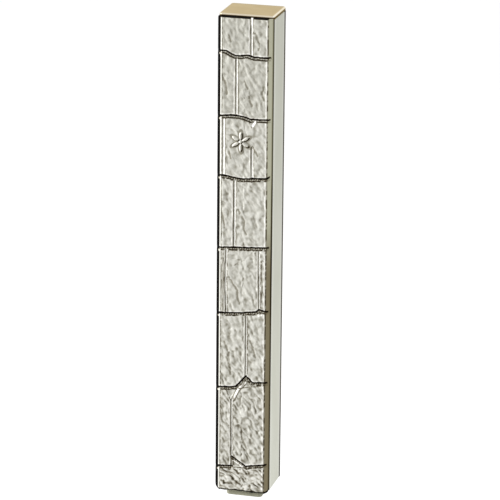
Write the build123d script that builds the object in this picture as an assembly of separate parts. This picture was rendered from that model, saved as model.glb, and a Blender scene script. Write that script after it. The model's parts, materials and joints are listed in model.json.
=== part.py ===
"""Mezuzah case: a slim box for a doorpost, with a stone-wall front and a stopper under its scroll.

Millimetres. The origin is the centre of the face that sticks to the doorpost. +Z is up, +Y points
into the doorpost, and the stone front faces -Y.
"""

from build123d import *
from math import cos, pi, sin
import os

# Casing: a straight extruded channel, closed behind by the back plate
CASE_WIDTH = 16.8
CASE_DEPTH = 14.2
CASE_TOP = 73.8
CASE_BOTTOM = -74.4
CASE_WALL = 1.2
CASE_CORNER = 0.5
CHANNEL_CORNER = 0.6

# Back plate, with two rails that sit inside the casing's walls
PLATE_THICKNESS = 1.6
RAIL_WIDTH = 0.8
RAIL_HEIGHT = 0.8
RAIL_GAP = 0.04
RAIL_CLEARANCE = 2.0

# Top cap
CAP_THICKNESS = 1.2
CAP_EDGE = 0.45
CAP_CORNER = 1.0
SPIGOT_LENGTH = 4.0
SPIGOT_WALL = 1.2
SPIGOT_GAP = 0.04

# Front plaque
PLAQUE_TOP = 74.35
PLAQUE_BOTTOM = -75.0
PLAQUE_OVERHANG = 0.1
PLAQUE_THICKNESS = 1.4
PLAQUE_CHAMFER = 1.3
PLAQUE_TOP_CORNER = 0.3
PLAQUE_FOOT_CORNER = 1.4
JOINT_WIDTH = 0.8
JOINT_DEPTH = 0.45
ROSETTE_HEIGHT = 0.4
ROSETTE_MIDDLE = (-0.9, 36.6)
PETAL_COUNT = 6
PETAL_REACH = 1.75
PETAL_LENGTH = 2.7
PETAL_WIDTH = 1.1
BEAD_DIAMETER = 1.2

# Adhesive films and tape
PLAQUE_FILM = 0.2
FILM_INSET = 0.4
TAPE_THICKNESS = 1.0
TAPE_WIDTH = 12.0
TAPE_LENGTH = 140.0

# Bottom stopper
PLUG_LENGTH = 8.4
PLUG_GAP = 0.2
RIB_GAP = 0.03
RIB_HEIGHT = 0.9
RIB_PITCH = 2.6
RIB_COUNT = 3
FOOT_WIDTH = 11.4
FOOT_DEPTH = 10.4
FOOT_DROP = 3.2
FOOT_EDGE = 0.6
FOOT_CORNER = 1.2

# Scroll: one sheet, rolled, in a clear sleeve
SHEET_HEIGHT = 120.0
SHEET_LENGTH = 120.0
SHEET_THICKNESS = 0.28
ROLL_PITCH = 0.44
ROLL_CORE_RADIUS = 1.8
ROLL_POINTS_PER_TURN = 10
SLEEVE_RADIUS = 4.9
SLEEVE_WALL = 0.15
SLEEVE_LENGTH = 123.0
SCROLL_LIFT = 0.1

# Planes that several pieces share
CASE_BACK = -TAPE_THICKNESS
CASE_FRONT = CASE_BACK - CASE_DEPTH
CASE_Y = (CASE_BACK + CASE_FRONT) / 2
PLATE_FRONT = CASE_BACK - PLATE_THICKNESS
PLAQUE_BACK = CASE_FRONT - PLAQUE_FILM
PLAQUE_FRONT = PLAQUE_BACK - PLAQUE_THICKNESS
PLAQUE_WIDTH = CASE_WIDTH + 2 * PLAQUE_OVERHANG
CHANNEL_WIDTH = CASE_WIDTH - 2 * CASE_WALL
CHANNEL_DEPTH = CASE_DEPTH - CASE_WALL - PLATE_THICKNESS
CHANNEL_Y = PLATE_FRONT - CHANNEL_DEPTH / 2
PLUG_TOP = CASE_BOTTOM + PLUG_LENGTH

# Joints between the stones, as (x, z) on the front, from the top of the case down
LEVEL_JOINTS = [
    [(-8.5, 63.7), (-5.7, 63.7), (-4.2, 62.9), (-2.8, 62.4), (-1.1, 62.5), (1.0, 62.8), (3.2, 62.3), (8.5, 62.3)],
    [(-8.5, 43.6), (-4.0, 44.1), (-1.9, 44.0), (0.3, 43.7), (2.0, 43.1), (3.7, 43.3), (8.5, 43.4)],
    [(-8.5, 25.4), (-6.1, 25.4), (-4.5, 25.2), (-2.3, 24.7), (-0.2, 24.7), (2.3, 25.0), (6.9, 25.3), (8.5, 26.1)],
    [(-8.5, 2.6), (8.5, 3.7)],
    [(-8.5, -18.1), (-4.2, -17.9), (-0.1, -17.5), (2.7, -17.1), (5.2, -16.1), (6.4, -16.4), (8.5, -16.7)],
    [(-8.5, -41.5), (-4.4, -41.3), (-1.8, -40.9), (1.2, -37.2), (3.1, -39.1), (8.5, -38.7)],
    [(-8.5, -67.5), (-3.2, -67.0)],
    [(-3.0, -63.6), (1.5, -66.6), (8.5, -65.7)],
]
UPRIGHT_JOINTS = [
    [(2.1, 74.9), (2.3, 62.6)],
    [(-2.0, 62.5), (-2.0, 44.0)],
    [(-6.0, 43.8), (-6.0, 25.4)],
    [(2.7, 35.0), (2.8, 25.0)],
    [(-2.5, 24.7), (-2.5, 3.0)],
    [(-5.0, 2.8), (-4.9, -17.9)],
    [(5.2, 3.5), (5.4, -16.2)],
    [(1.4, -17.3), (1.5, -37.5)],
    [(-3.0, -45.0), (-2.9, -67.0)],
]
# Chipped corners, where a joint opens into a small hollow
CHIPS = [
    [(-5.0, -41.4), (-3.3, -45.6), (-2.7, -45.6), (-0.4, -41.2), (1.3, -40.3), (3.1, -39.3), (1.2, -37.2)],
    [(-3.0, -63.6), (1.5, -66.6), (-2.9, -67.1)],
]


def at_channel(z):
    """The level plane at height z, centred on the channel."""
    return Plane(origin=(0, CHANNEL_Y, z), x_dir=(1, 0, 0), z_dir=(0, 0, 1))


def at_front(y):
    """The upright plane at depth y: its axes are world X and Z, and its normal points out of the front."""
    return Plane(origin=(0, y, 0), x_dir=(1, 0, 0), z_dir=(0, -1, 0))


def column(width, depth, corner, bottom, top, y=CHANNEL_Y):
    """A rounded rectangular column, on the channel's axis unless y moves it."""
    outline = Plane(origin=(0, y, bottom)) * RectangleRounded(width, depth, corner)
    return extrude(outline, top - bottom)


def case_body():
    """The whole block of the casing and its back plate."""
    return column(CASE_WIDTH, CASE_DEPTH, CASE_CORNER, CASE_BOTTOM, CASE_TOP, CASE_Y)


def plate_block():
    """The slab of space behind the channel, wider and taller than the case."""
    return extrude(at_front(CASE_BACK) * Rectangle(2 * CASE_WIDTH, 3 * CASE_TOP), PLATE_THICKNESS)


def make_casing():
    """U-shaped channel, open behind and at both ends."""
    channel = column(CHANNEL_WIDTH, CHANNEL_DEPTH, CHANNEL_CORNER, CASE_BOTTOM, CASE_TOP)
    mouth = extrude(at_front(PLATE_FRONT) * Rectangle(CHANNEL_WIDTH, 3 * CASE_TOP), CHANNEL_CORNER)
    return case_body() - plate_block() - channel - mouth


def make_back_plate():
    """Flat plate across the back of the casing, with a rail along the inside of each wall."""
    plate = case_body() & plate_block()
    bottom = PLUG_TOP + RAIL_CLEARANCE
    top = CASE_TOP - SPIGOT_LENGTH - RAIL_CLEARANCE
    middle = (bottom + top) / 2
    for side in (-1, 1):
        x = side * (CHANNEL_WIDTH / 2 - RAIL_GAP - RAIL_WIDTH / 2)
        rail = Location((x, middle)) * Rectangle(RAIL_WIDTH, top - bottom)
        plate = plate + extrude(at_front(PLATE_FRONT) * rail, RAIL_HEIGHT)
    return plate


def make_top_cap():
    """Flat lid with softened edges, and a hollow spigot that is pressed into the channel."""
    lid = column(CASE_WIDTH, CASE_DEPTH, CAP_CORNER, CASE_TOP, CASE_TOP + CAP_THICKNESS, CASE_Y)
    lid = fillet(lid.edges().group_by(Axis.Z)[-1], CAP_EDGE)
    spigot_width = CHANNEL_WIDTH - 2 * SPIGOT_GAP
    spigot_depth = CHANNEL_DEPTH - 2 * SPIGOT_GAP
    spigot_bottom = CASE_TOP - SPIGOT_LENGTH
    spigot = column(spigot_width, spigot_depth, CHANNEL_CORNER, spigot_bottom, CASE_TOP)
    hollow_width = spigot_width - 2 * SPIGOT_WALL
    hollow_depth = spigot_depth - 2 * SPIGOT_WALL
    hollow = column(hollow_width, hollow_depth, CHANNEL_CORNER / 2, spigot_bottom, CASE_TOP)
    return lid + (spigot - hollow)


def plaque_outline():
    """The plaque seen from the front: rounded lower corners, nearly square upper ones."""
    height = PLAQUE_TOP - PLAQUE_BOTTOM
    centre = Location((0, (PLAQUE_TOP + PLAQUE_BOTTOM) / 2))
    outline = centre * Rectangle(PLAQUE_WIDTH, height)
    corners = outline.vertices().sort_by(Axis.Y)
    outline = fillet(corners[:2], PLAQUE_FOOT_CORNER)
    corners = outline.vertices().sort_by(Axis.Y)
    return fillet(corners[-2:], PLAQUE_TOP_CORNER)


def plaque_section():
    """The plaque seen from above: its two front edges are chamfered."""
    half = PLAQUE_WIDTH / 2
    chamfer_back = PLAQUE_FRONT + PLAQUE_CHAMFER
    return make_face(Polyline(
        (-half, PLAQUE_BACK),
        (-half, chamfer_back),
        (-half + PLAQUE_CHAMFER, PLAQUE_FRONT),
        (half - PLAQUE_CHAMFER, PLAQUE_FRONT),
        (half, chamfer_back),
        (half, PLAQUE_BACK),
        close=True,
    ))


def joint_plan():
    """All the sunk joints and chipped corners as one flat sketch on x and z."""
    plan = Sketch()
    for route in LEVEL_JOINTS + UPRIGHT_JOINTS:
        plan = plan + trace(Polyline(*route), line_width=JOINT_WIDTH)
    for corners in CHIPS:
        plan = plan + make_face(Polyline(*corners, close=True))
    return plan


def rosette_plan():
    """A plain ornament: six oval petals round a bead."""
    petal = Location((PETAL_REACH, 0)) * Ellipse(PETAL_LENGTH / 2, PETAL_WIDTH / 2)
    plan = Sketch() + Circle(BEAD_DIAMETER / 2)
    for number in range(PETAL_COUNT):
        turn = 90 + number * 360 / PETAL_COUNT
        plan = plan + Location((0, 0, 0), (0, 0, turn)) * petal
    return Location(ROSETTE_MIDDLE) * plan


def make_front_plaque():
    """Cast plaque: a column of stones with sunk joints and a raised rosette."""
    height = PLAQUE_TOP - PLAQUE_BOTTOM
    section = Plane(origin=(0, 0, PLAQUE_BOTTOM)) * plaque_section()
    slab = extrude(section, height)
    outline = extrude(at_front(PLAQUE_BACK) * plaque_outline(), PLAQUE_THICKNESS)
    joint_floor = at_front(PLAQUE_FRONT + JOINT_DEPTH)
    joints = extrude(joint_floor * joint_plan(), 2 * JOINT_DEPTH)
    rosette = extrude(joint_floor * rosette_plan(), JOINT_DEPTH + ROSETTE_HEIGHT)
    return (slab & outline) - joints + rosette


def make_plaque_film():
    """Thin adhesive film that holds the plaque on the casing."""
    height = CASE_TOP - CASE_BOTTOM - 2 * FILM_INSET
    middle = (CASE_TOP + CASE_BOTTOM) / 2
    sheet = Location((0, middle)) * Rectangle(CASE_WIDTH - 2 * FILM_INSET, height)
    return extrude(at_front(CASE_FRONT) * sheet, PLAQUE_FILM)


def make_mounting_tape():
    """Foam strip that sticks the casing to the doorpost."""
    return extrude(at_front(0) * RectangleRounded(TAPE_WIDTH, TAPE_LENGTH, 1.0), TAPE_THICKNESS)


def make_bottom_stopper():
    """Soft plug with sealing ribs, and a foot below the case to pull it by."""
    plug_width = CHANNEL_WIDTH - 2 * PLUG_GAP
    plug_depth = CHANNEL_DEPTH - 2 * PLUG_GAP
    plug = column(plug_width, plug_depth, CHANNEL_CORNER, CASE_BOTTOM, PLUG_TOP)
    rib_width = CHANNEL_WIDTH - 2 * RIB_GAP
    rib_depth = CHANNEL_DEPTH - 2 * RIB_GAP
    for number in range(RIB_COUNT):
        rib_bottom = CASE_BOTTOM + 1.0 + number * RIB_PITCH
        plug = plug + column(rib_width, rib_depth, CHANNEL_CORNER, rib_bottom, rib_bottom + RIB_HEIGHT)
    foot = column(FOOT_WIDTH, FOOT_DEPTH, FOOT_CORNER, CASE_BOTTOM - FOOT_DROP, CASE_BOTTOM)
    foot = fillet(foot.edges().group_by(Axis.Z)[0], FOOT_EDGE)
    return plug + foot


def roll_outer_radius():
    """Radius at which the rolled sheet has used up its length."""
    return (ROLL_CORE_RADIUS ** 2 + SHEET_LENGTH * ROLL_PITCH / pi) ** 0.5


def spiral_edge(start_radius, turns):
    """Spiral curve whose radius grows by one pitch each turn."""
    steps = round(turns * ROLL_POINTS_PER_TURN)
    points = []
    for step in range(steps + 1):
        turn = turns * step / steps
        radius = start_radius + ROLL_PITCH * turn
        points.append((radius * cos(2 * pi * turn), radius * sin(2 * pi * turn)))
    return Spline(*points)


def make_scroll():
    """One sheet, rolled from its edge into a spiral, standing on the stopper."""
    turns = (roll_outer_radius() - ROLL_CORE_RADIUS) / ROLL_PITCH
    inner = spiral_edge(ROLL_CORE_RADIUS, turns)
    outer = spiral_edge(ROLL_CORE_RADIUS + SHEET_THICKNESS, turns)
    start = Line(inner @ 0, outer @ 0)
    end = Line(inner @ 1, outer @ 1)
    sheet = make_face([inner, end, outer, start])
    return extrude(at_channel(PLUG_TOP + SCROLL_LIFT) * sheet, SHEET_HEIGHT)


def make_scroll_sleeve():
    """Clear tube around the rolled sheet."""
    wall = Circle(SLEEVE_RADIUS) - Circle(SLEEVE_RADIUS - SLEEVE_WALL)
    return extrude(at_channel(PLUG_TOP + SCROLL_LIFT) * wall, SLEEVE_LENGTH)


def main():
    nodes = {
        "casing": make_casing(),
        "back_plate": make_back_plate(),
        "top_cap": make_top_cap(),
        "front_plaque": make_front_plaque(),
        "plaque_film": make_plaque_film(),
        "mounting_tape": make_mounting_tape(),
        "bottom_stopper": make_bottom_stopper(),
        "scroll": make_scroll(),
        "scroll_sleeve": make_scroll_sleeve(),
    }
    os.makedirs("parts", exist_ok=True)
    for name, shape in nodes.items():
        export_step(shape, f"parts/{name}.step")
        size = shape.bounding_box().size
        print(f"{name}: {size.X:.2f} x {size.Y:.2f} x {size.Z:.2f} mm, {len(shape.solids())} solid")


main()
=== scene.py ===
"""Looks of the mezuzah case: a stone-wall plaque in matt silver, a champagne tube and lid, and the inside.

Lengths are in millimetres in the shape functions, and turned into metres when a mesh is made.
"""

import json
from math import cos, pi, radians, sin

import bpy
import numpy as np
from mathutils import Matrix, Vector

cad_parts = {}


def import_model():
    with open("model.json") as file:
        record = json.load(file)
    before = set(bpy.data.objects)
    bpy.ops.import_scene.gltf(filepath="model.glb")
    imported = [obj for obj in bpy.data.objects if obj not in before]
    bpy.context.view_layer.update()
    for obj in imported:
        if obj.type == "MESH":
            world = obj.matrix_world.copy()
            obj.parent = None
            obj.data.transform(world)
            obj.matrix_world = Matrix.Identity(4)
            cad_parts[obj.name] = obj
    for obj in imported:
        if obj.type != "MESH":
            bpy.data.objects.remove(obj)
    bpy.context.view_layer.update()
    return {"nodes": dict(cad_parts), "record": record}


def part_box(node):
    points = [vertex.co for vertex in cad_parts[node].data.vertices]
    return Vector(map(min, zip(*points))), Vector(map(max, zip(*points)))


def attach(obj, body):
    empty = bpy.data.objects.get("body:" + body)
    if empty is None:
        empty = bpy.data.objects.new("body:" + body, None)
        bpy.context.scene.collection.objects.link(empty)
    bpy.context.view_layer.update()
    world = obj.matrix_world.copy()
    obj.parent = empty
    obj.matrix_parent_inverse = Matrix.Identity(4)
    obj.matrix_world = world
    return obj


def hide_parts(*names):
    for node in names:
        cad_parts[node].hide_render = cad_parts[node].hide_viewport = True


MM = 0.001

# Stone face
FACE_DEPTH = 16.8
RIM_STEP_LEFT = -7.0
RIM_STEP_RIGHT = 7.05
STEP_HEIGHT = 0.22
RIM_SLOPE = 0.82
FOOT_CORNER = 1.4
TOP_CORNER = 0.3
JOINT_DEPTH = 0.42
CHIP_DEPTH = 0.3
ROSETTE_HEIGHT = 0.38
# How far below the origin the bottom stone fades in
BOTTOM_STONE_FROM = 66.8
BOTTOM_STONE_TO = 67.4

# Lid, channel and stopper
LID_THICKNESS = 1.2
LID_EDGE = 0.45
LID_CORNER = 1.0
SPIGOT_GAP = 0.04
SPIGOT_WALL = 1.2
CHANNEL_HALF_WIDTH = 7.2
CHANNEL_BACK = -2.6
CHANNEL_FRONT = -14.0
CHANNEL_ROUNDING = 0.6
REBATE_DEPTH = 0.95
REBATE_WIDTH = 0.35
FOOT_WIDTH = 11.4
FOOT_DEPTH = 10.4
FOOT_DROP = 3.2
FOOT_ROUNDING = 1.2
RIB_COUNT = 3
RIB_PITCH = 2.6

# Joints between the stones, as (x, z) on the front, from the top of the case down
LEVEL_JOINTS = [
    [(-8.5, 63.7), (-5.7, 63.7), (-4.2, 62.9), (-2.8, 62.4), (-1.1, 62.5), (1.0, 62.8), (3.2, 62.3),
     (7.7, 62.3)],
    [(-8.5, 43.8), (-4.0, 44.25), (-1.9, 44.15), (0.3, 43.85), (2.0, 43.25), (3.7, 43.4), (7.9, 43.5)],
    [(-8.5, 25.5), (-6.1, 25.5), (-4.5, 25.3), (-2.3, 24.85), (-0.2, 24.85), (2.3, 25.1), (6.9, 25.4),
     (8.0, 26.0)],
    [(-8.5, 2.9), (8.0, 3.9)],
    [(-8.5, -17.8), (-4.2, -17.6), (-0.1, -17.2), (2.7, -16.8), (4.3, -16.5), (5.2, -15.8), (6.4, -16.1),
     (7.8, -16.3)],
    [(-8.5, -41.6), (-4.4, -41.4), (-1.8, -41.1), (1.2, -37.5), (3.1, -39.3), (7.5, -39.0)],
    [(-8.5, -67.45), (-3.2, -66.95)],
    [(-3.1, -64.0), (1.3, -66.7), (7.8, -65.65)],
]
UPRIGHT_JOINTS = [
    [(1.95, 74.9), (2.15, 62.8)],
    [(-2.4, 62.3), (-2.4, 44.2)],
    [(-6.3, 43.6), (-6.3, 25.5)],
    [(2.5, 34.9), (2.6, 25.2)],
    [(-2.78, 24.6), (-2.78, 3.1)],
    [(-5.16, 2.6), (-5.46, -7.0), (-5.06, -17.8)],
    [(5.0, 3.4), (5.2, -16.2)],
    [(1.15, -17.4), (1.25, -37.3)],
    [(-3.22, -45.2), (-3.12, -66.9)],
]
# Hollows where a stone's corner has chipped away
CHIPS = [
    [(-4.9, -42.0), (-3.3, -45.8), (-2.7, -45.2), (0.9, -39.1), (-0.9, -41.3)],
    [(-1.0, -41.4), (3.1, -40.3), (1.2, -37.6)],
    [(-3.1, -64.0), (-3.0, -67.0), (1.3, -66.8)],
    [(1.4, 43.1), (3.7, 43.1), (2.5, 41.3)],
]
# Slopes with a painted highlight, where they face the light: a route and its half width
GLEAMS = [
    ([(0.9, -39.2), (-1.2, -41.6), (-2.75, -45.0)], 0.24),
    ([(-2.6, -65.0), (0.7, -66.9)], 0.16),
    ([(3.4, 43.0), (2.6, 41.7)], 0.3),
    ([(-7.9, 61.8), (-7.3, 62.6)], 0.22),
    ([(5.1, -17.3), (5.9, -17.1)], 0.22),
]
# Thin broken lines of patina, most of them along the chipped corners: a route and its darkness
HAIRLINES = [
    ([(-6.15, 1.5), (-6.1, -17.3)], 0.62),
    ([(-4.9, -41.9), (-4.3, -43.6), (-3.4, -45.4)], 0.66),
    ([(1.35, -39.6), (-0.8, -42.0), (-2.3, -45.3)], 0.64),
    ([(0.4, -39.0), (-1.65, -41.3), (-3.15, -44.7)], 0.5),
    ([(-1.0, -41.3), (3.1, -40.3), (7.0, -39.6)], 0.62),
    ([(-2.9, -67.1), (1.4, -66.9)], 0.75),
    ([(-3.1, -64.1), (-3.05, -66.9)], 0.6),
    ([(-2.0, -41.6), (0.9, -38.8)], 0.55),
    ([(1.2, -38.6), (3.0, -40.1)], 0.5),
    ([(1.5, 42.9), (2.4, 41.2)], 0.66),
    ([(5.9, 0.5), (5.7, -3.0), (6.1, -8.0), (5.8, -13.0)], 0.62),
]
# Shallow cracks in the stones
CRACKS = [
    [(-4.9, 68.9), (-4.2, 67.2), (-4.3, 65.4)],
    [(2.9, 69.9), (4.5, 66.9), (4.2, 65.0)],
    [(-6.9, 56.4), (-5.6, 53.6), (-5.4, 50.9)],
    [(0.0, 55.0), (1.5, 51.9), (1.6, 49.6), (2.4, 47.8)],
    [(5.9, 53.6), (5.4, 51.6), (6.0, 49.8)],
    [(2.7, 35.2), (4.3, 32.6)],
    [(-5.0, 34.4), (-4.3, 32.6), (-3.6, 30.4)],
    [(-1.6, 15.6), (0.3, 12.2), (0.2, 9.4), (0.9, 8.0)],
    [(-7.0, 15.2), (-6.2, 12.0), (-5.8, 9.6)],
    [(-4.3, -5.9), (-1.7, -9.9), (-1.6, -12.2), (-0.9, -14.0)],
    [(-5.6, -26.6), (-4.2, -30.0), (-4.1, -33.0)],
    [(-4.7, -31.6), (-3.9, -34.4), (-3.6, -36.9)],
    [(2.4, -25.6), (3.7, -28.8), (4.1, -30.7)],
    [(-2.2, -50.2), (-0.2, -54.2), (0.2, -57.3), (1.4, -60.2)],
]

# Rosette: six oval petals round a bead
ROSETTE_MIDDLE = (-0.9, 36.6)
PETAL_COUNT = 6
PETAL_REACH = 1.75
PETAL_LENGTH = 2.7
PETAL_WIDTH = 1.1
BEAD_DIAMETER = 1.2

# Mesh of the plaque's front, and the floor
GRID_COLUMNS = 104
GRID_ROWS = 900
FLOOR_GAP = 2.0
FLOOR_HALF_SIDE = 20000.0


# ---------------------------------------------------------------- shapes


def smooth(value, low, high):
    """Smoothstep: 0 below low, 1 above high, and 3t^2 - 2t^3 between them."""
    t = np.clip((value - low) / (high - low), 0.0, 1.0)
    return t * t * (3.0 - 2.0 * t)


def hills(x, z, cell, seed):
    """Value noise: random heights on a square lattice, blended between lattice points by smoothstep."""
    lattice = np.random.default_rng(seed).random((257, 257))
    u, v = x / cell, z / cell
    i, j = np.floor(u).astype(int), np.floor(v).astype(int)
    a, b = smooth(u - i, 0.0, 1.0), smooth(v - j, 0.0, 1.0)
    i, j = i % 256, j % 256
    low = lattice[i, j] * (1 - a) + lattice[i + 1, j] * a
    high = lattice[i, j + 1] * (1 - a) + lattice[i + 1, j + 1] * a
    return low * (1 - b) + high * b - 0.5


def turned(x, z, angle, stretch):
    """Coordinates turned by angle, with the first axis shortened by stretch."""
    return (x * cos(angle) + z * sin(angle)) / stretch, -x * sin(angle) + z * cos(angle)


def band(value, low, high, soft=0.1):
    """1 between low and high, fading to 0 over soft on either side."""
    return smooth(value, low - soft, low) * (1.0 - smooth(value, high, high + soft))


def averaged(field, reach):
    """Mean of a field over a square window, from differences of its running sums, down and then across."""
    for axis in (0, 1):
        padded = np.moveaxis(field, axis, 0)
        padded = np.concatenate([padded[:1]] * (reach + 1) + [padded] + [padded[-1:]] * reach)
        sums = np.cumsum(padded, axis=0)
        field = np.moveaxis((sums[2 * reach + 1:] - sums[:-2 * reach - 1]) / (2 * reach + 1), 0, axis)
    return field


def rock(x, z):
    """Split-rock face: strokes that slant down to the right, in two sizes, over lumps and a broad swell.

    The strokes get thinner and longer down the case, and lie flatter on the bottom stone.
    """
    warp_x = 1.0 * hills(x, z, 2.6, 3) + 0.35 * hills(x, z, 0.9, 4)
    warp_z = 1.0 * hills(x, z, 2.6, 5) + 0.35 * hills(x, z, 0.9, 6)

    def stroked(slant, stretch, cell, seed):
        return hills(*turned(x + warp_x, z + warp_z, radians(slant), stretch), cell, seed)

    bottom_stone = smooth(-z, BOTTOM_STONE_FROM, BOTTOM_STONE_TO)
    lower_stones = smooth(-z, 17.0, 42.0)
    upper = stroked(-57.0, 2.4, 0.74, 7)
    lower = stroked(-54.0, 4.0, 0.54, 21)
    strokes = upper * (1.0 - lower_stones) + lower * lower_stones
    strokes = strokes * (1.0 - bottom_stone) + 1.05 * stroked(-33.0, 4.4, 0.5, 22) * bottom_stone
    fine_strokes = stroked(-48.0, 2.2, 0.4, 8) * (1.0 - bottom_stone)
    fine_strokes = fine_strokes + 1.3 * stroked(-32.0, 2.4, 0.36, 23) * bottom_stone
    lumps = hills(x + 0.5 * warp_x, z + 0.5 * warp_z, 1.25, 17) * (1.0 - 0.75 * bottom_stone)
    swell = hills(x, z, 3.6, 9)
    grain = hills(x, z, 0.34, 10)
    return 0.23 * strokes + 0.1 * fine_strokes + 0.18 * lumps + 0.14 * swell + 0.03 * grain


def seam_distance(x, z, route):
    """Signed distance to a bent line, the least over its straight parts.

    It is positive above a line drawn left to right, and right of one drawn downwards.
    """
    best = np.full(x.shape, 1e9)
    signed = np.full(x.shape, 1e9)
    for (ax, az), (bx, bz) in zip(route[:-1], route[1:]):
        dx, dz = bx - ax, bz - az
        length = (dx * dx + dz * dz) ** 0.5
        t = np.clip(((x - ax) * dx + (z - az) * dz) / length ** 2, 0.0, 1.0)
        distance = np.hypot(x - ax - t * dx, z - az - t * dz)
        side = np.where(dx * (z - az) - dz * (x - ax) >= 0, 1.0, -1.0)
        nearer = distance < best
        best = np.where(nearer, distance, best)
        signed = np.where(nearer, distance * side, signed)
    return signed


def inside_distance(x, z, corners):
    """How deep a point lies inside a convex outline: the least distance to its sides."""
    middle = np.mean(corners, axis=0)
    depth = np.full(x.shape, 1e9)
    for (ax, az), (bx, bz) in zip(corners, corners[1:] + corners[:1]):
        dx, dz = bx - ax, bz - az
        length = (dx * dx + dz * dz) ** 0.5
        side = (dx * (z - az) - dz * (x - ax)) / length
        inward = (dx * (middle[1] - az) - dz * (middle[0] - ax)) >= 0
        depth = np.minimum(depth, side if inward else -side)
    return depth


def rosette_depth(x, z):
    """How deep a point lies inside the rosette: the deepest of its round bead and its petals.

    A petal's depth is its half width times one minus the point's distance in units of the oval's half axes.
    """
    across, up = x - ROSETTE_MIDDLE[0], z - ROSETTE_MIDDLE[1]
    deepest = BEAD_DIAMETER / 2 - np.hypot(across, up)
    for number in range(PETAL_COUNT):
        turn = pi / 2 + number * 2.0 * pi / PETAL_COUNT
        outward = across * cos(turn) + up * sin(turn) - PETAL_REACH
        sideways = up * cos(turn) - across * sin(turn)
        ratio = np.hypot(outward / (PETAL_LENGTH / 2), sideways / (PETAL_WIDTH / 2))
        deepest = np.maximum(deepest, PETAL_WIDTH / 2 * (1.0 - ratio))
    return deepest


def slopes(field, x, z):
    """How fast a field rises to the right, and how fast it rises upwards."""
    rises_right = np.gradient(field, axis=1) / np.gradient(x, axis=1)
    rises_up = np.gradient(field, axis=0) / np.gradient(z, axis=0)
    return rises_right, rises_up


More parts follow.
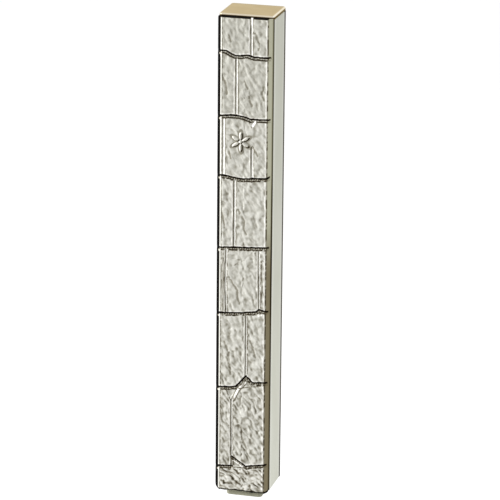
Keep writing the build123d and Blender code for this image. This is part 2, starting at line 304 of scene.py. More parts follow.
def plaque_height(x, z):
    """Height of the plaque's front over its nominal face, and its darkness and painted highlights.

    Stones are rock. A level joint is a trough under the upper stone's steep lower edge, with a broken lip
    below it, which is a second unbroken line near the top of the case. An upright joint drops steeply from
    the stone on its left and climbs back on a slope. The rim falls away on both sides. Patina lies in the
    joints and cracks. Painted shade darkens the walls and slopes that face right or down, the hollows, the
    left rim and the rim's outer right edge, more on the lower stones. Painted highlights brighten the floors
    of the upright joints, the stones' edges and the rosette's sides that face left.
    """
    waver = 0.16 * hills(x, z, 1.3, 11) + 0.1 * hills(x, z, 0.45, 12)
    ragged = hills(x, z, 0.42, 13)
    broken = hills(x, z, 0.7, 16)
    low_stones = smooth(-z, -30.0, 25.0)
    doubled = smooth(z, 36.0, 38.0)
    on_stone = smooth(x, RIM_STEP_LEFT - 0.1, RIM_STEP_LEFT + 0.25)
    on_stone = on_stone * (1.0 - smooth(x, RIM_STEP_RIGHT - 0.15, RIM_STEP_RIGHT + 0.05))
    over_rim = smooth(x, -8.3, -7.6) * (1.0 - smooth(x, 7.75, 8.0))

    carve, patina_and_shade, painted_highlight = np.zeros(x.shape), np.zeros(x.shape), np.zeros(x.shape)
    edge = np.full(x.shape, 1e9)
    spark = np.zeros(x.shape)
    # Upright joints: painted shade on the steep wall that faces right, and patina on the broken lip. Painted
    # highlights on the floor that faces left, and on the stone's edge left of the wall.
    for route in UPRIGHT_JOINTS:
        s = (seam_distance(x, z, route) + 0.5 * waver) * (1.0 + 0.25 * low_stones)
        carve = np.maximum(carve, JOINT_DEPTH * smooth(s, -0.46, -0.28) * smooth(0.55 - s, 0.0, 0.75))
        wall = band(s, -0.46, -0.3, 0.08)
        lip = band(s, 0.5, 0.66) * smooth(broken, -0.4, -0.1)
        wall_dark, lip_dark = (0.52 + 0.14 * low_stones) * wall, (0.5 + 0.25 * low_stones) * lip
        patina_and_shade = np.maximum.reduce([patina_and_shade, wall_dark, lip_dark])
        floor_light = (1.0 - 0.45 * low_stones) * band(s, -0.06, 0.28, 0.06)
        painted_highlight = np.maximum.reduce([painted_highlight, floor_light, 0.55 * band(s, -0.84, -0.6, 0.08)])
        edge = np.minimum(edge, np.abs(s))
    # Level joints: painted shade on the upper stone's lower wall, which faces down, and patina in the toothed
    # bed and on the broken lip. Painted highlights between the teeth, just above the wall, and where a joint
    # meets the left rim.
    for route in LEVEL_JOINTS:
        s = seam_distance(x, z, route) + waver
        s_low = s + 0.24 * ragged
        trough = smooth(0.62 - s, 0.0, 0.2) * smooth(s_low, -0.52, -0.28)
        carve = np.maximum(carve, JOINT_DEPTH * trough)
        wall = band(s, 0.06, 0.56, 0.08)
        teeth = 0.5 + 0.5 * np.sin(2.0 * pi * (x / 0.72 + 0.6 * ragged))
        bed = band(s, -0.3, 0.1, 0.08) * (0.22 + 0.5 * teeth) * (1.0 - 0.45 * doubled)
        lip = band(s_low * (1.0 - doubled) + (s + 0.04) * doubled, -0.56, -0.36 + 0.06 * doubled)
        lip = lip * np.maximum(smooth(broken, -0.3, -0.05), doubled)
        reach = 0.25 + 0.75 * on_stone
        clear = smooth(0.72 - np.abs(s), 0.0, 0.15) * on_stone
        patina_and_shade, painted_highlight = patina_and_shade * (1.0 - clear), painted_highlight * (1.0 - clear)
        patina_and_shade = np.maximum.reduce([patina_and_shade, wall * over_rim, bed * reach, 0.86 * lip * reach])
        bed_light = 0.5 * band(s, -0.3, 0.1) * (1.0 - teeth) * on_stone
        painted_highlight = np.maximum.reduce([painted_highlight, 0.55 * band(s, 0.76, 0.95), bed_light])
        spark = np.maximum(spark, 0.8 * band(s, -0.85, -0.45, 0.15) * band(x, -7.9, -7.2))
        edge = np.minimum(edge, np.abs(s))
    for corners in CHIPS:
        depth = inside_distance(x, z, corners) + 0.4 * waver
        carve = np.maximum(carve, CHIP_DEPTH * smooth(depth, 0.0, 0.4))
        edge = np.minimum(edge, np.abs(depth) + 0.3)
    # Painted highlights along the listed slopes, clearing the patina there.
    for route, half_width in GLEAMS:
        s = np.abs(seam_distance(x, z, route) + 0.2 * waver)
        gleam = smooth(half_width + 0.08 - s, 0.0, 0.12)
        patina_and_shade, painted_highlight = patina_and_shade * (1.0 - gleam), np.maximum(painted_highlight, gleam)
    for route, darkness in HAIRLINES:
        s = np.abs(seam_distance(x, z, route) + 0.7 * waver)
        patina_and_shade = np.maximum(patina_and_shade, darkness * smooth(0.2 - s, 0.0, 0.12) * smooth(broken, -0.42, -0.2))
    crack = np.zeros(x.shape)
    for route in CRACKS:
        s = seam_distance(x, z, route) + 1.3 * waver + 0.2 * ragged
        crack = np.maximum(crack, smooth(0.5 - np.abs(s), 0.0, 0.38) * smooth(broken, -0.45, -0.1))

    depth = rosette_depth(x, z)
    raised = smooth(depth, -0.04, 0.24)
    raised_right, raised_up = slopes(raised, x, z)
    # Painted shade on the rosette's sides that face right or down, painted highlight on those that face left.
    petal_dark = smooth(0.8 * raised_up - raised_right, 0.2, 1.3)
    petal_bright = smooth(raised_right, 0.6, 2.0)
    on_rosette = smooth(depth, -0.5, -0.1)

    bottom_stone = smooth(-z, BOTTOM_STONE_FROM, BOTTOM_STONE_TO)
    middle_courses = band(z, -64.0, 41.0, 3.0)
    roughness = 0.95 + 0.3 * smooth(-z, 10.0, 45.0) + 0.35 * bottom_stone
    clear_stone = on_stone * smooth(edge, 0.3, 0.8)
    relief = rock(x, z) * roughness * clear_stone * (1.0 - on_rosette) - 0.1 * crack * on_stone
    # Painted shade on the stones: darker in hollows and on slopes facing right or down, more on lower
    # courses.
    hollow = averaged(relief, 5) - relief
    rises_right, rises_up = slopes(averaged(relief, 1), x, z)
    shade = smooth(1.6 * hollow - 0.7 * rises_right + 0.45 * rises_up, -0.22, 0.5)
    patina_and_shade = np.maximum.reduce([
        patina_and_shade,
        (0.44 + 0.14 * bottom_stone + 0.06 * middle_courses) * shade * roughness * clear_stone,
        0.42 * crack * on_stone,
        0.42 * band(depth, -0.32, -0.05),
        0.85 * petal_dark,
    ])

    past_left = np.maximum(RIM_STEP_LEFT - x, 0.0)
    past_right = np.maximum(x - RIM_STEP_RIGHT, 0.0)
    fall_left = 0.8 * past_left
    fall_right = STEP_HEIGHT * smooth(past_right, 0.0, 0.16) + RIM_SLOPE * np.maximum(past_right - 0.1, 0.0)
    # Patina and painted shade: broken dark lines along the steps from the stones down to the rim; the right
    # step faces away from the light.
    seam_left = band(x + 0.5 * waver, RIM_STEP_LEFT + 0.12, RIM_STEP_LEFT + 0.3)
    seam_right = band(x + 0.3 * waver, RIM_STEP_RIGHT - 0.08, RIM_STEP_RIGHT + 0.14)
    height = relief - carve * (0.35 + 0.65 * on_stone) - fall_left - fall_right - 0.12 * seam_left
    height = height + ROSETTE_HEIGHT * raised
    dashes = smooth(broken + 0.4 * ragged, -0.2, 0.1)
    notch = smooth(patina_and_shade, 0.5, 0.9) * over_rim
    # Painted highlights: a line on the left rim beside the stones and a line along the stones' right edge.
    left_line, right_line = band(x, -7.34, -7.1, 0.08), band(x, 6.5, 6.8, 0.1)
    left_rim_painted_dark, right_rim_painted_shade = smooth(-7.34 - x, 0.0, 0.1), smooth(x, 8.14, 8.3)
    # Painted highlights: on the rosette's left-facing sides and on slopes of the middle courses away from the
    # painted shade; the bottom stone is paler overall.
    painted_highlight = np.maximum.reduce([
        painted_highlight,
        petal_bright,
        0.22 * bottom_stone * on_stone,
        0.13 * middle_courses * on_stone * (1.0 - shade),
        0.25 * left_line,
        0.6 * right_line,
    ])
    # Painted dark reflection on the left rim, near black, and painted shade on the right rim's outer edge,
    # like a shadowed seam.
    patina_and_shade = np.maximum.reduce([
        patina_and_shade * over_rim,
        (0.45 + 0.1 * low_stones) * seam_left * (0.35 + 0.65 * dashes),
        0.66 * seam_right * (0.4 + 0.6 * dashes),
        left_rim_painted_dark * (1.0 - 0.75 * spark),
        (0.5 + 0.25 * band(z, -12.0, 18.0, 12.0)) * right_rim_painted_shade,
    ])
    return height, patina_and_shade, np.maximum(painted_highlight * (1.0 - notch), spark)


def new_object(name, vertices, faces, smooth_angle=None):
    """Mesh object at the origin from vertices in millimetres."""
    mesh = bpy.data.meshes.new(name)
    mesh.from_pydata((np.asarray(vertices) * MM).tolist(), [], faces)
    mesh.update()
    if smooth_angle is not None:
        mesh.polygons.foreach_set("use_smooth", np.ones(len(mesh.polygons), dtype=bool))
        mesh.set_sharp_from_angle(angle=smooth_angle)
    piece = bpy.data.objects.new(name, mesh)
    bpy.context.scene.collection.objects.link(piece)
    return piece


def point_values(piece, name, values):
    """Stores one number for each vertex, which a material reads by name."""
    attribute = piece.data.attributes.new(name, "FLOAT", "POINT")
    attribute.data.foreach_set("value", np.asarray(values, dtype=np.float32))


def make_plaque():
    """Relief plaque: a height field on a grid of x and z, closed by a skirt and a flat back.

    A column's rows run evenly from a wavy lower edge, lifted to a rounded corner at each side, to the top.
    """
    low, high = (np.array(corner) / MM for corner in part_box("front_plaque"))
    x = np.linspace(low[0], high[0], GRID_COLUMNS)
    v = np.linspace(0.0, 1.0, GRID_ROWS)[:, None]
    reach = np.abs(x)
    half = high[0]
    foot_lift, crown_drop = (
        corner - np.sqrt(np.maximum(corner ** 2 - np.maximum(reach - half + corner, 0.0) ** 2, 0.0))
        for corner in (FOOT_CORNER, TOP_CORNER)
    )
    wave = 0.22 * (hills(x, 0 * x, 2.2, 14) + 0.5) + 0.1 * (hills(x, 0 * x, 0.8, 15) + 0.5)
    bottom = low[2] + foot_lift + wave * smooth(half - 1.2 - reach, 0.0, 1.0)
    top = high[2] - crown_drop
    z = bottom + v * (top - bottom)
    x = np.broadcast_to(x, z.shape)
    height, patina_and_shade, painted_highlight = plaque_height(x, z)
    from_bottom, from_top = z - bottom, top - z
    round_foot = 0.5 * (1.0 - smooth(from_bottom, 0.0, 0.55)) ** 1.5
    round_top = 0.35 * (1.0 - smooth(from_top, 0.0, 0.3)) ** 1.5
    height = height - round_foot - round_top
    back = high[1]
    y = np.clip(-(FACE_DEPTH + height), low[1] + 0.01, back - 0.06)
    # Painted shade: the top ledge under the lid and the wavy lower edge, which faces down, are dark.
    crown = smooth(0.34 - from_top, 0.0, 0.1) * (1.0 - smooth(x, 7.0, 7.3)) * (1.0 - band(x, 1.7, 2.5))
    foot = smooth(0.74 + 0.2 * hills(x, z, 0.8, 20) - from_bottom, 0.0, 0.2)
    patina_and_shade = np.maximum.reduce([patina_and_shade, crown, foot])
    painted_highlight = painted_highlight * (1.0 - np.maximum(crown, foot))
    rim = smooth(x, RIM_STEP_RIGHT + 0.02, RIM_STEP_RIGHT + 0.2)

    front = np.stack([x, y, z], axis=-1).reshape(-1, 3)
    rows, columns = z.shape
    index = np.arange(rows * columns).reshape(rows, columns)
    front_faces = np.stack([index[:-1, :-1], index[:-1, 1:], index[1:, 1:], index[1:, :-1]], axis=-1)
    loop = np.concatenate([index[0, :], index[1:, -1], index[-1, -2::-1], index[-2:0:-1, 0]])
    rim_back = front[loop].copy()
    rim_back[:, 1] = back
    count = len(loop)
    back_index = np.arange(count) + len(front)
    following = np.roll(np.arange(count), -1)
    skirt = np.stack([loop, back_index, back_index[following], loop[following]], axis=-1)
    right_side = np.arange(columns - 1, columns - 1 + rows)
    left_side = np.concatenate([[0], np.arange(count - 1, columns + rows - 1 + columns - 2, -1)])
    left_back, right_back = back_index[left_side[1:]], back_index[right_side[1:-1]]
    strips = np.stack([left_back[:-1], left_back[1:], right_back[1:], right_back[:-1]], axis=-1)
    low_end = list(back_index[:columns][::-1]) + [left_back[0], right_back[0]]
    top_loop = back_index[columns + rows - 2:2 * columns + rows - 2]
    high_end = list(top_loop[::-1]) + [right_back[-1], left_back[-1]]
    faces = front_faces.reshape(-1, 4).tolist() + skirt.tolist() + strips.tolist() + [low_end, high_end]
    vertices = np.concatenate([front, rim_back])
    piece = new_object("plaque_relief", vertices, faces, radians(55.0))
    tail = np.zeros(count)
    point_values(piece, "patina_and_shade", np.concatenate([patina_and_shade.ravel(), tail + 1.0]))
    point_values(piece, "painted_highlight", np.concatenate([painted_highlight.ravel(), tail]))
    point_values(piece, "rim", np.concatenate([rim.ravel(), tail]))
    return piece


def ring_piece(name, rings):
    """Rounded rectangles joined in order, each a ring of half width, half depth, corner radius, y and z.

    A point of a ring is its corner's centre plus the radius times (cos a, sin a). Both ends are flat.
    """
    half_width, half_depth, corner, middle, z = np.array(rings)[:, :, None].transpose(1, 0, 2)
    steps = 8
    angle = (np.arange(4)[:, None] * pi / 2 + np.linspace(0.0, pi / 2, steps)).ravel()
    side_x = np.repeat([1.0, -1.0, -1.0, 1.0], steps)
    side_y = np.repeat([1.0, 1.0, -1.0, -1.0], steps)
    x = side_x * (half_width - corner) + corner * np.cos(angle)
    y = middle + side_y * (half_depth - corner) + corner * np.sin(angle)
    vertices = np.stack([x, y, np.broadcast_to(z, x.shape)], axis=-1)
    count, around = x.shape
    index = np.arange(count * around).reshape(count, around)
    following = np.roll(index, -1, axis=1)
    quads = np.stack([index[:-1], index[1:], following[1:], following[:-1]], axis=-1).reshape(-1, 4)
    faces = quads.tolist() + [index[0].tolist(), index[-1, ::-1].tolist()]
    return new_object(name, vertices.reshape(-1, 3), faces, radians(35.0)), vertices


def make_lid():
    """Lid with a rounded top edge and a fine undercut, and the hollow spigot below it.

    A ring inset from the edge keeps the top flat. The side, and the top's back and left edges, have painted
    shade, and the right edge and a little of the front one have a painted highlight.
    """
    low, high = (np.array(corner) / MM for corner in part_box("top_cap"))
    half_width, half_depth = (high[0] - low[0]) / 2, (high[1] - low[1]) / 2
    middle = (high[1] + low[1]) / 2
    top, spigot_bottom = high[2], low[2]
    underside = top - LID_THICKNESS
    rings = [(half_width - 0.8, half_depth - 0.8, 0.3, middle, top)]
    for turn in np.linspace(0.0, pi / 2, 7):
        inset = LID_EDGE * (1.0 - sin(turn))
        drop = LID_EDGE * (1.0 - cos(turn))
        rings.append((half_width - inset, half_depth - inset, LID_CORNER - inset, middle, top - drop))
    undercut = [(0.0, top - 0.55), (0.0, underside + 0.2), (0.03, underside + 0.14), (0.16, underside + 0.02),
                (0.2, underside)]
    for inset, z in undercut:
        rings.append((half_width - inset, half_depth - inset, LID_CORNER - inset, middle, z))
    channel_middle = (CHANNEL_BACK + CHANNEL_FRONT) / 2
    spigot_width = CHANNEL_HALF_WIDTH - SPIGOT_GAP
    spigot_depth = (CHANNEL_BACK - CHANNEL_FRONT) / 2 - SPIGOT_GAP
    spigot = [(0.0, underside), (0.0, spigot_bottom + 0.3), (0.25, spigot_bottom),
              (SPIGOT_WALL, spigot_bottom), (SPIGOT_WALL, underside)]
    for inset, z in spigot:
        rings.append((spigot_width - inset, spigot_depth - inset, 0.5, channel_middle, z))
    piece, vertices = ring_piece("lid", rings)
    across, depth, level = np.moveaxis(vertices, -1, 0)
    # Painted shade: dark brown on the side and along the top's back and left edges.
    above = smooth(level, underside, underside + 0.1)
    back_edge = smooth(depth, high[1] - 0.75, high[1] - 0.4) * above
    left_edge = smooth(low[0] + 0.4 - across, 0.0, 0.3) * above
    side = smooth(top - 0.36 - level, 0.0, 0.08)
    point_values(piece, "shade", np.maximum.reduce([side, 0.75 * back_edge, 0.7 * left_edge]).ravel())
    # Painted highlight: near white on the right edge of the top and a little of the front edge.
    on_edge = smooth(level, top - 0.4, top - 0.3)
    right_edge = 0.85 * smooth(across, high[0] - 0.5, high[0] - 0.35)
    front_edge = smooth(-depth, -low[1] - 0.75, -low[1] - 0.5)
    point_values(piece, "painted_highlight", (on_edge * np.maximum(right_edge, 0.2 * front_edge)).ravel())
    return piece


def make_stopper():
    """Soft plug with three rounded sealing ribs, a waist, and a foot with softened edges and a finger groove.

    A rib's outline is exp(-(d / w)^4), with d the height from the rib's middle and w its half width.
    """
    low, high = (np.array(corner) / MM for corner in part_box("bottom_stopper"))
    half_width, half_depth = (high[0] - low[0]) / 2, (high[1] - low[1]) / 2
    middle = (high[1] + low[1]) / 2
    top, bottom = high[2], low[2]
    mouth = bottom + FOOT_DROP
    z = np.linspace(top - 0.4, mouth + 0.1, 56)
    rib_middles = [mouth + 1.45 + number * RIB_PITCH for number in range(RIB_COUNT)]
    ribs = sum(np.exp(-(((z - rib_middle) / 0.34) ** 4)) for rib_middle in rib_middles)
    rings = [
        (half_width - 0.6, half_depth - 0.6, 0.5, middle, top),
        (half_width - 0.25, half_depth - 0.25, 0.6, middle, top - 0.15),
    ]
    for rib, level in zip(ribs, z):
        waist = 0.17 * (1 - rib)
        rings.append((half_width - waist, half_depth - waist, 0.6, middle, level))
    foot_width, foot_depth = FOOT_WIDTH / 2, FOOT_DEPTH / 2
    groove = [(0.25, 0.0), (0.06, 0.08), (0.0, 0.25), (0.0, 0.9), (0.1, 1.1), (0.22, 1.35), (0.22, 1.65),
              (0.1, 1.9), (0.0, 2.1)]
    for inset, drop in groove:
        rings.append((foot_width - inset, foot_depth - inset, FOOT_ROUNDING - inset, middle, mouth - drop))
    for turn in np.linspace(0.0, pi / 2, 7):
        inset, rise = 0.6 * (1.0 - cos(turn)), 0.6 * (1.0 - sin(turn))
        rings.append((foot_width - inset, foot_depth - inset, FOOT_ROUNDING - inset, middle, bottom + rise))
    rings.append((foot_width - 2.0, foot_depth - 2.0, 0.8, middle, bottom))
    rings.append((foot_width - 2.4, foot_depth - 2.4, 0.6, middle, bottom + 0.3))
    return ring_piece("stopper", rings)[0]


def make_channel():
    """Extruded channel: a U-shaped outline with a rebate behind the plaque, carried from end to end.

    The ends are bevelled. The rebate and the strip beside the back plate are painted dark as shade, and the
    flat beside each of them has a painted highlight.
    """
    low, high = (np.array(corner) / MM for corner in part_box("casing"))
    half, front, back = high[0], low[1], high[1]
    rebate_back, rebate_half = front + REBATE_DEPTH, half - REBATE_WIDTH
    outer_edge = [
        (half, back), (half, back - 0.45), (half, back - 0.55), (half, back - 1.3), (half, back - 1.9),
        (half, rebate_back + 2.2), (half, rebate_back + 1.3), (half, rebate_back + 0.08),
        (half - 0.08, rebate_back), (rebate_half, rebate_back), (rebate_half, front),
    ]
    round_x, round_y = CHANNEL_HALF_WIDTH - CHANNEL_ROUNDING, CHANNEL_FRONT + CHANNEL_ROUNDING
    inner_corner = [
        (round_x + CHANNEL_ROUNDING * cos(turn), round_y - CHANNEL_ROUNDING * sin(turn))
        for turn in np.linspace(0.0, pi / 2, 5)
    ]
    right_outer = np.array(outer_edge)
    left_outer = right_outer[::-1] * (-1.0, 1.0)
    right_inner = np.array([(CHANNEL_HALF_WIDTH, back)] + inner_corner)
    left_inner = right_inner * (-1.0, 1.0)
    outline = np.concatenate([right_outer, left_outer, left_inner, right_inner[::-1]])
    ahead, behind = np.roll(outline, -1, axis=0) - outline, outline - np.roll(outline, 1, axis=0)
    along = ahead / np.linalg.norm(ahead, axis=1)[:, None] + behind / np.linalg.norm(behind, axis=1)[:, None]
    inward = np.stack([along[:, 1], -along[:, 0]], axis=-1)
    inward = inward / np.linalg.norm(inward, axis=1)[:, None]
    levels = [(0.1, high[2]), (0.0, high[2] - 0.1), (0.0, low[2] + 0.12), (0.12, low[2])]
    layers = [np.column_stack([outline + inset * inward, np.full(len(outline), z)]) for inset, z in levels]
    count = len(outline)
    index = np.arange(len(levels) * count).reshape(len(levels), count)
    following = np.roll(index, -1, axis=1)
    quads = np.stack([index[:-1], following[:-1], following[1:], index[1:]], axis=-1).reshape(-1, 4)
    faces = quads.tolist() + [index[0, ::-1].tolist(), index[-1].tolist()]
    vertices = np.concatenate(layers)
    piece = new_object("channel", vertices, faces, radians(35.0))
    depth = vertices[:, 1]
    # Painted shade, near black, in the rebate and on the strip by the back plate; painted highlights on the
    # flats beside them.
    front_gap_shade = smooth(rebate_back + 0.05 - depth, 0.0, 0.03)
    point_values(piece, "painted_gap_shade", np.maximum(front_gap_shade, smooth(depth, back - 0.53, back - 0.47)))
    front_highlight = band(depth, rebate_back + 0.01, rebate_back + 1.4)
    point_values(piece, "painted_highlight", np.maximum(band(depth, back - 1.4, back), front_highlight))
    return piece


# ---------------------------------------------------------------- materials


class Finish:
    """A node material, with short ways to add and join its nodes."""

    def __init__(self, name, **sockets):
        self.material = bpy.data.materials.new(name)
        self.material.use_nodes = True
        self.nodes = self.material.node_tree.nodes
        self.links = self.material.node_tree.links
        self.shader = self.nodes["Principled BSDF"]
        for socket, value in sockets.items():
            self.shader.inputs[socket.replace("_", " ")].default_value = value
        self.place = self.nodes.new("ShaderNodeTexCoord").outputs["Object"]

    def join(self, output, target):
        self.links.new(output, target)

    def stretched(self, scale):
        """Object coordinates, scaled on each axis."""
        mapping = self.nodes.new("ShaderNodeMapping")
        mapping.inputs["Scale"].default_value = scale
        self.join(self.place, mapping.inputs["Vector"])
        return mapping.outputs["Vector"]

    def noise(self, scale, detail=3.0, stretch=(1.0, 1.0, 1.0)):
        node = self.nodes.new("ShaderNodeTexNoise")
        node.inputs["Scale"].default_value = scale
        node.inputs["Detail"].default_value = detail
        self.join(self.stretched(stretch), node.inputs["Vector"])
        return node.outputs["Fac"]

    def value(self, name):
        """A number stored on the mesh."""
        node = self.nodes.new("ShaderNodeAttribute")
        node.attribute_name = name
        return node.outputs["Fac"]

    def ramp(self, source, stops):
        """Colour ramp through (position, colour) stops."""
        node = self.nodes.new("ShaderNodeValToRGB")
        elements = node.color_ramp.elements
        while len(elements) < len(stops):
            elements.new(0.5)
        for element, (position, colour) in zip(elements, stops):
            element.position = position
            element.color = (*colour, 1.0)
        self.join(source, node.inputs["Fac"])
        return node.outputs["Color"]

    def spread(self, source, low, high):
        """Turns 0 to 1 into low to high."""
        node = self.nodes.new("ShaderNodeMapRange")
        node.inputs["To Min"].default_value = low
        node.inputs["To Max"].default_value = high
        self.join(source, node.inputs["Value"])
        return node.outputs["Result"]

    def along(self, axis, low, high, waver):
        """0 at low to 1 at high along one axis of the object, with a slanting, cloudy border."""
        split = self.nodes.new("ShaderNodeSeparateXYZ")
        self.join(self.place, split.inputs[0])
        node = self.nodes.new("ShaderNodeMapRange")
        node.interpolation_type = "SMOOTHSTEP"
        node.inputs["From Min"].default_value = low
        node.inputs["From Max"].default_value = high
        self.join(split.outputs[axis], node.inputs["Value"])
        cloud = self.nodes.new("ShaderNodeMath")
        cloud.operation = "MULTIPLY_ADD"
        cloud.use_clamp = True
        cloud.inputs[1].default_value = waver
        self.join(self.noise(60.0, 2.0, (1.0, 1.0, 0.3)), cloud.inputs[0])
        self.join(node.outputs["Result"], cloud.inputs[2])
        shift = self.nodes.new("ShaderNodeMath")
        shift.operation = "SUBTRACT"
        shift.use_clamp = True
        shift.inputs[1].default_value = waver / 2
        self.join(cloud.outputs[0], shift.inputs[0])
        return shift.outputs[0]

    def outside(self, axis, low, high):
        """0 within low of the object's middle and 1 beyond high, measured both ways along one axis."""
        split = self.nodes.new("ShaderNodeSeparateXYZ")
        self.join(self.place, split.inputs[0])
        size = self.nodes.new("ShaderNodeMath")
        size.operation = "ABSOLUTE"
        self.join(split.outputs[axis], size.inputs[0])
        node = self.nodes.new("ShaderNodeMapRange")
        node.inputs["From Min"].default_value = low
        node.inputs["From Max"].default_value = high
        self.join(size.outputs[0], node.inputs["Value"])
        return node.outputs["Result"]

    def mix(self, factor, first, second, blend="MIX"):
        node = self.nodes.new("ShaderNodeMix")
        node.data_type = "RGBA"
        node.blend_type = blend
        for target, source in ((node.inputs[0], factor), (node.inputs[6], first), (node.inputs[7], second)):
            if isinstance(source, bpy.types.NodeSocket):
                self.join(source, target)
            elif isinstance(source, tuple):
                target.default_value = (*source, 1.0)
            else:
                target.default_value = source
        return node.outputs[2]

    def bump(self, source, depth, strength):
        node = self.nodes.new("ShaderNodeBump")
        node.inputs["Distance"].default_value = depth
        node.inputs["Strength"].default_value = strength
        self.join(source, node.inputs["Height"])
        self.join(node.outputs["Normal"], self.shader.inputs["Normal"])

    def colour(self, source):
        self.join(source, self.shader.inputs["Base Color"])

    def rough(self, source):
        self.join(source, self.shader.inputs["Roughness"])


def antique_silver():
    """Matt cast silver, dark with patina and painted shade, bright with painted highlights, and a painted
    reflection on the rim, pale olive above and bronze below.
    """
    finish = Finish("antique_silver", Metallic=0.4, Specular_IOR_Level=0.0)
    cloud = finish.noise(420.0, 4.0)
    streaks = finish.noise(1100.0, 4.0, (1.0, 1.0, 0.5))
    silver = finish.ramp(cloud, [(0.3, (0.445, 0.44, 0.395)), (0.7, (0.55, 0.545, 0.49))])
    streaked = finish.ramp(streaks, [(0.35, (0.38, 0.375, 0.335)), (0.6, (0.62, 0.61, 0.555))])
    silver = finish.mix(0.3, silver, streaked)
    # Painted highlight, near white, mixed in by the highlight value.
    silver = finish.mix(finish.value("painted_highlight"), silver, (1.0, 0.99, 0.96))
    # Painted reflection on the rim: pale olive above, dark bronze below, with a cloudy slanting border.
    upwards = finish.along(2, -0.006, 0.019, 0.35)
    rim_painted_reflection = finish.ramp(upwards, [(0.0, (0.2, 0.172, 0.107)), (1.0, (0.47, 0.47, 0.36))])
    silver = finish.mix(finish.value("rim"), silver, rim_painted_reflection)
    # Patina and painted shade darken the colour through this ramp.
    dark = finish.ramp(finish.value("patina_and_shade"), [
        (0.0, (1.0, 1.0, 1.0)),
        (0.35, (0.5, 0.48, 0.43)),
        (0.65, (0.15, 0.125, 0.085)),
        (1.0, (0.002, 0.002, 0.0015)),
    ])
    finish.colour(finish.mix(1.0, silver, dark, "MULTIPLY"))
    finish.rough(finish.spread(finish.noise(700.0, 3.0), 0.42, 0.6))
    finish.bump(finish.noise(2600.0, 4.0), 0.00005, 0.5)
    return finish.material


def champagne_tube():
    """Satin anodised aluminium with fine lines along the extrusion and a faint cloudiness.

    It has painted shade, a little darker towards the top and near black in the gaps at its edges,
    and painted highlights beside those gaps.
    """
    pale, deep = (0.55, 0.555, 0.47), (0.49, 0.495, 0.405)
    finish = Finish("champagne_tube", Metallic=0.9, Specular_IOR_Level=0.2)
    lines = finish.noise(5200.0, 3.0, (1.0, 1.0, 0.012))
    cloud = finish.noise(150.0, 3.0, (1.0, 1.0, 0.35))
    colour = finish.ramp(cloud, [(0.3, deep), (0.7, pale)])
    colour = finish.mix(0.12, colour, finish.ramp(lines, [(0.35, deep), (0.65, pale)]))
    # Painted shade: a little darker towards the top.
    colour = finish.mix(finish.along(2, -0.075, 0.075, 0.1), colour, (0.86, 0.86, 0.85), "MULTIPLY")
    # Painted highlight on the flats beside the rebate and the back edge.
    colour = finish.mix(finish.spread(finish.value("painted_highlight"), 0.0, 0.3), colour, (0.72, 0.72, 0.66))
    # Painted shade, near black, in the rebate and on the strip by the back plate.
    finish.colour(finish.mix(finish.value("painted_gap_shade"), colour, (0.05, 0.045, 0.03)))
    finish.rough(finish.spread(lines, 0.28, 0.4))
    finish.bump(lines, 0.00001, 0.35)
    return finish.material


def bronze_plate():
    """Olive-bronze anodised plate, with brown-black painted shade on its cut side edges."""
    finish = Finish("bronze_plate", Specular_IOR_Level=0.1)
    lines = finish.noise(5200.0, 3.0, (1.0, 1.0, 0.012))
    cloud = finish.noise(150.0, 3.0, (1.0, 1.0, 0.35))
    colour = finish.ramp(cloud, [(0.3, (0.2, 0.185, 0.14)), (0.7, (0.26, 0.24, 0.185))])
    # Painted shade: brown-black on the plate's side edges.
    finish.colour(finish.mix(finish.outside(0, 0.00826, 0.00834), colour, (0.045, 0.037, 0.022)))
    finish.rough(finish.spread(lines, 0.5, 0.6))
    finish.bump(lines, 0.00001, 0.35)
    return finish.material


def satin_gold():
    """Satin champagne-gold anodising with a faint grain, brown painted shade on the lid's sides and edges,
    and a pale painted highlight on its right edge.
    """
    finish = Finish("champagne_gold", Metallic=0.8, Specular_IOR_Level=0.05)
    finish.shader.inputs["Specular Tint"].default_value = (0.8, 0.68, 0.42, 1.0)
    grain = finish.noise(3800.0, 3.0)
    cloud = finish.noise(260.0, 3.0)
    colour = finish.ramp(cloud, [(0.3, (0.52, 0.44, 0.305)), (0.7, (0.57, 0.49, 0.35))])
    # Painted shade: dark brown where the shade value is high.
    colour = finish.mix(finish.value("shade"), colour, (0.075, 0.045, 0.016))
    # Painted highlight: near white on the worn-free right edge, by the highlight value.
    finish.colour(finish.mix(finish.value("painted_highlight"), colour, (1.0, 0.97, 0.88)))
    finish.rough(finish.spread(grain, 0.28, 0.4))
    finish.bump(grain, 0.00001, 0.3)
    return finish.material


def soft_silicone():
    """Matt olive-grey silicone with a fine dusty mottle."""
    finish = Finish("olive_silicone", Roughness=0.6, Subsurface_Weight=0.1)
    finish.shader.inputs["Subsurface Radius"].default_value = (0.001, 0.0008, 0.0005)
    mottle = finish.noise(600.0, 4.0)
    finish.colour(finish.ramp(mottle, [(0.3, (0.21, 0.207, 0.142)), (0.7, (0.27, 0.265, 0.185))]))
    finish.bump(finish.noise(2400.0, 3.0), 0.00002, 0.4)
    return finish.material


def white_foam():
    """Closed-cell foam: small round cells."""
    finish = Finish("white_foam", Roughness=0.85)
    cells = finish.nodes.new("ShaderNodeTexVoronoi")
    cells.inputs["Scale"].default_value = 3200.0
    finish.join(finish.place, cells.inputs["Vector"])
    distance = cells.outputs["Distance"]
    finish.colour(finish.ramp(distance, [(0.0, (0.34, 0.34, 0.33)), (0.5, (0.62, 0.62, 0.6))]))
    finish.bump(distance, 0.0001, 0.8)
    return finish.material


def black_film():
    """Black adhesive film, slightly glossy."""
    finish = Finish("black_film", Roughness=0.5)
    cloud = finish.noise(900.0)
    finish.colour(finish.ramp(cloud, [(0.3, (0.008, 0.008, 0.008)), (0.7, (0.02, 0.02, 0.018))]))
    return finish.material


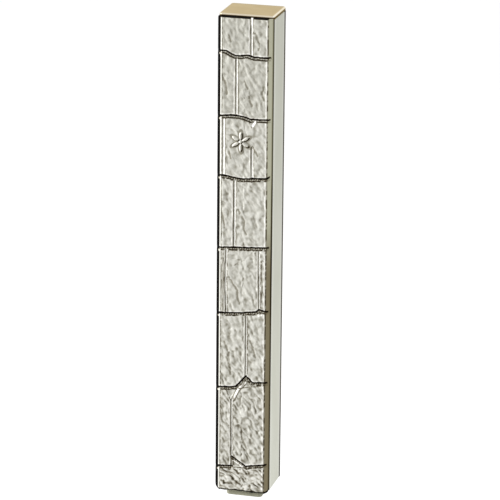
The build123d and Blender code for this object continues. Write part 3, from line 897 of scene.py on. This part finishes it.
def parchment():
    """Calfskin parchment: warm cream with faint grain, follicles and clouding."""
    finish = Finish("parchment", Roughness=0.62, Specular_IOR_Level=0.2, Subsurface_Weight=0.1)
    finish.shader.inputs["Subsurface Radius"].default_value = (0.0008, 0.0005, 0.0003)
    cloud = finish.noise(90.0, 5.0)
    grain = finish.noise(1500.0, 4.0, (1.0, 1.0, 0.5))
    colour = finish.ramp(cloud, [(0.3, (0.36, 0.265, 0.13)), (0.7, (0.48, 0.38, 0.215))])
    grained = finish.ramp(grain, [(0.35, (0.24, 0.165, 0.075)), (0.6, (0.52, 0.43, 0.27))])
    finish.colour(finish.mix(0.25, colour, grained))
    finish.bump(grain, 0.00004, 0.5)
    return finish.material


def clear_film():
    """Thin clear plastic with a little haze."""
    finish = Finish("clear_film", Roughness=0.12, Alpha=0.1, IOR=1.45)
    finish.colour(finish.ramp(finish.noise(300.0), [(0.3, (0.9, 0.92, 0.92)), (0.7, (0.97, 0.98, 0.98))]))
    finish.bump(finish.noise(500.0, 3.0, (1.0, 1.0, 0.3)), 0.00004, 0.4)
    return finish.material


def pale_floor():
    """Plain matt pale grey."""
    finish = Finish("pale_floor", Roughness=0.9, Specular_IOR_Level=0.1)
    finish.shader.inputs["Base Color"].default_value = (0.92, 0.92, 0.92, 1.0)
    return finish.material


# ---------------------------------------------------------------- studio


def make_world():
    """Even pale surroundings."""
    world = bpy.data.worlds.new("studio")
    world.use_nodes = True
    background = world.node_tree.nodes["Background"]
    background.inputs["Color"].default_value = (1.0, 1.0, 1.0, 1.0)
    background.inputs["Strength"].default_value = 1.05
    bpy.context.scene.world = world


def make_softbox(name, place, aim, size, power):
    """Rectangular area light at place, turned to aim."""
    lamp = bpy.data.lights.new(name, "AREA")
    lamp.shape = "RECTANGLE"
    lamp.size, lamp.size_y = size
    lamp.energy = power
    holder = bpy.data.objects.new(name, lamp)
    holder.location = place
    holder.rotation_euler = (Vector(aim) - Vector(place)).to_track_quat("-Z", "Y").to_euler()
    bpy.context.scene.collection.objects.link(holder)


def make_camera():
    """Long lens, from the right of the front and a little above.

    The aim is the middle of the casing's depth, moved a little forward, to the right and up.
    """
    azimuth, elevation, roll = radians(15.1), radians(17.39), radians(0.535)
    distance, focal_length = 0.9398, 223.5
    back = Vector((sin(azimuth) * cos(elevation), -cos(azimuth) * cos(elevation), sin(elevation)))
    right = Vector((cos(azimuth), sin(azimuth), 0.0))
    up = back.cross(right)
    casing_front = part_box("casing")[0][1]
    aim = Vector((0.0, casing_front / 2 - 0.00115, 0.0)) + 0.00002 * right + 0.00061 * up
    turned_right = right * cos(roll) + up * sin(roll)
    turned_up = -right * sin(roll) + up * cos(roll)
    camera = bpy.data.cameras.new("camera")
    camera.lens = focal_length
    camera.sensor_width = 36.0
    camera.clip_start, camera.clip_end = 0.01, 50.0
    holder = bpy.data.objects.new("camera", camera)
    turn = Matrix((turned_right, turned_up, back)).transposed()
    holder.matrix_world = Matrix.Translation(aim + distance * back) @ turn.to_4x4()
    bpy.context.scene.collection.objects.link(holder)
    bpy.context.scene.camera = holder


def make_floor(travel):
    """Large plain floor, below the stopper's foot when the scroll is pulled right out."""
    level = (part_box("bottom_stopper")[0][2] - travel) / MM - FLOOR_GAP
    side = FLOOR_HALF_SIDE
    corners = [(-side, -side, level), (side, -side, level), (side, side, level), (-side, side, level)]
    floor = new_object("floor", corners, [[0, 1, 2, 3]])
    floor.data.materials.append(pale_floor())


def main():
    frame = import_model()
    nodes = frame["nodes"]
    bpy.context.scene.view_settings.view_transform = "Standard"

    finishes = [
        (make_plaque(), "front_plaque", "case", "plaque_metal", antique_silver()),
        (make_lid(), "top_cap", "case", "cap_metal", satin_gold()),
        (make_channel(), "casing", "case", "casing_metal", champagne_tube()),
        (make_stopper(), "bottom_stopper", "stopper", "stopper_rubber", soft_silicone()),
    ]
    for piece, node, body, slot, material in finishes:
        piece.data.materials.append(material)
        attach(piece, body)
        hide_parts(node)

    kept = {
        "back_plate": bronze_plate(),
        "plaque_film": black_film(),
        "mounting_tape": white_foam(),
        "scroll": parchment(),
        "scroll_sleeve": clear_film(),
    }
    for name, material in kept.items():
        nodes[name].data.materials[0] = material

    make_world()
    make_softbox("key_left", place=(-0.92, -0.3, 0.28), aim=(0.0, 0.0, 0.0), size=(0.5, 0.9), power=9.0)
    make_camera()
    make_floor(frame["record"]["behaviour"]["joints"][0]["range_m"][1])


main()
